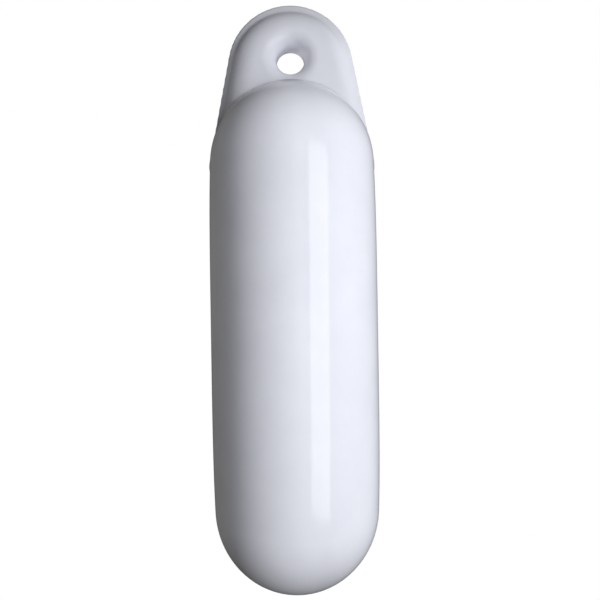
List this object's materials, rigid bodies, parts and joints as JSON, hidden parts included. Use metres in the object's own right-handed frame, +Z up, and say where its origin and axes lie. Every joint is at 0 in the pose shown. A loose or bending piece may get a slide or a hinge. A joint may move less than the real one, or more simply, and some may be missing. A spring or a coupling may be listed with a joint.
{
  "type": "boat fender",
  "caption": "Slim white inflated boat fender with domed ends and a flat rimmed pad at the top, pierced by a rounded eye for a lanyard.",
  "frame": {"origin": "centre of the eye, in the pad's middle plane", "axes": "+Z up the fender's long axis from the body towards the pad, +Y through the eye, +X across the pad"},
  "size_m": [0.1, 0.1, 0.35],
  "materials": {
    "white_vinyl": "smooth glossy moulded vinyl, cool white"
  },
  "bodies": {
    "root": {"fender": "white_vinyl"}
  },
  "joints": []
}
